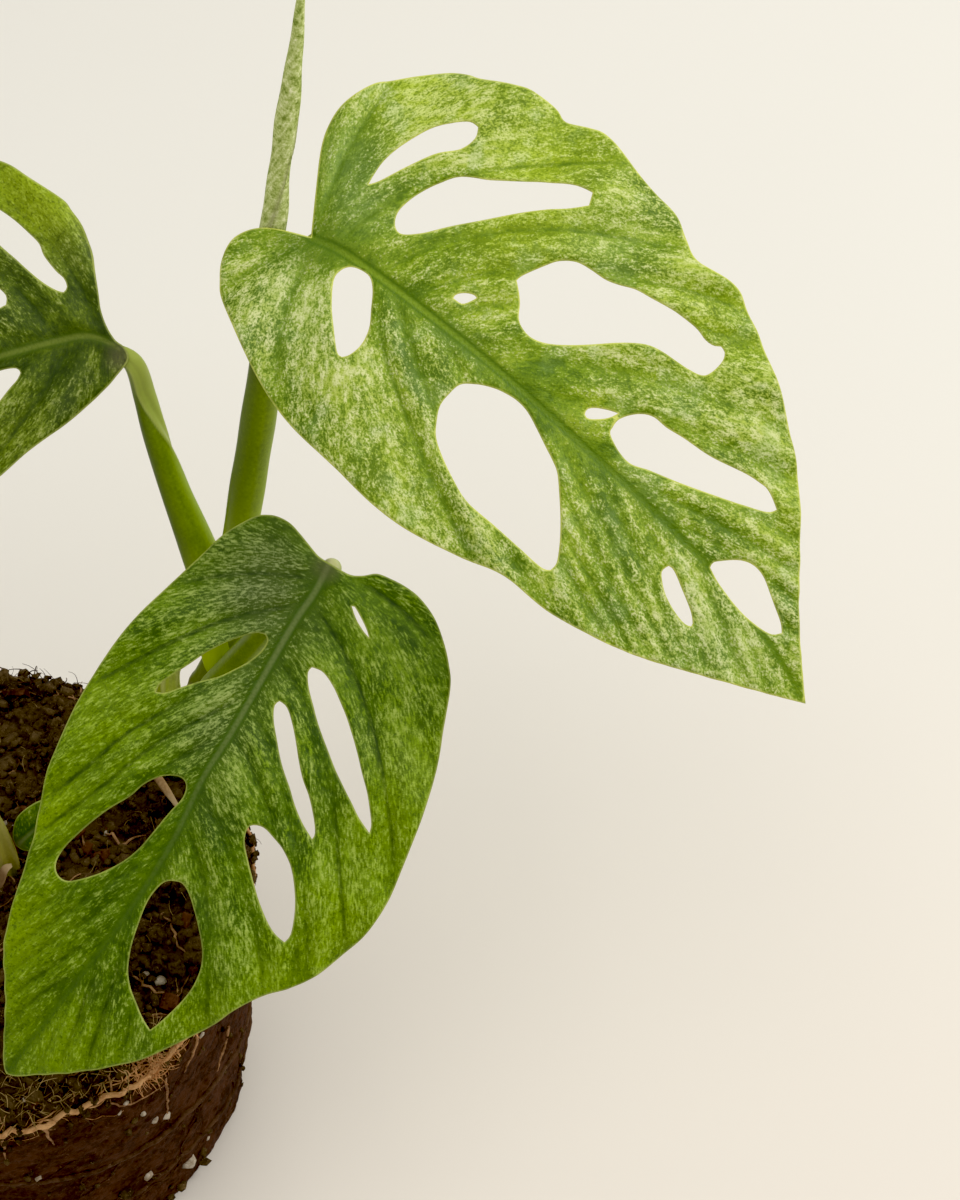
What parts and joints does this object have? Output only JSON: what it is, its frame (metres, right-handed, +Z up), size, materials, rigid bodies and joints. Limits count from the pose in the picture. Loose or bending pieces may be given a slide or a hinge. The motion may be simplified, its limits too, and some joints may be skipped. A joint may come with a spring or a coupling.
{
  "type": "monstera adansonii plant",
  "caption": "Young climbing houseplant with pierced, marbled green leaves and a rolled new leaf on a leaning stem, standing in a bare pot-shaped root ball.",
  "frame": {"origin": "centre of the flat base of the root ball, on the surface it stands on", "axes": "+Z up out of the soil, -Y towards the side that the pictured leaves face, +X to the right seen from there"},
  "size_m": [0.2189, 0.1404, 0.2511],
  "materials": {
    "peat": "crumbly, matte",
    "root_skin": "dry, matte",
    "stem_green": "smooth, waxy",
    "leaf_light": "marbled, soft sheen",
    "leaf_dark": "finely flecked, soft sheen",
    "new_growth": "marbled, matte",
    "dry_sheath": "papery, matte"
  },
  "bodies": {
    "root": {"root_ball": "peat", "root_1": "root_skin", "root_2": "root_skin", "root_3": "root_skin", "root_4": "root_skin", "root_5": "root_skin", "root_6": "root_skin", "main_stem": "stem_green", "stalk_upper": "stem_green", "stalk_left": "stem_green", "stalk_front": "stem_green", "old_sheath": "dry_sheath", "side_shoot": "dry_sheath", "rolled_leaf": "new_growth", "blade_upper": "leaf_light", "blade_left": "leaf_light", "blade_front": "leaf_dark", "blade_small": "leaf_dark"}
  },
  "joints": []
}
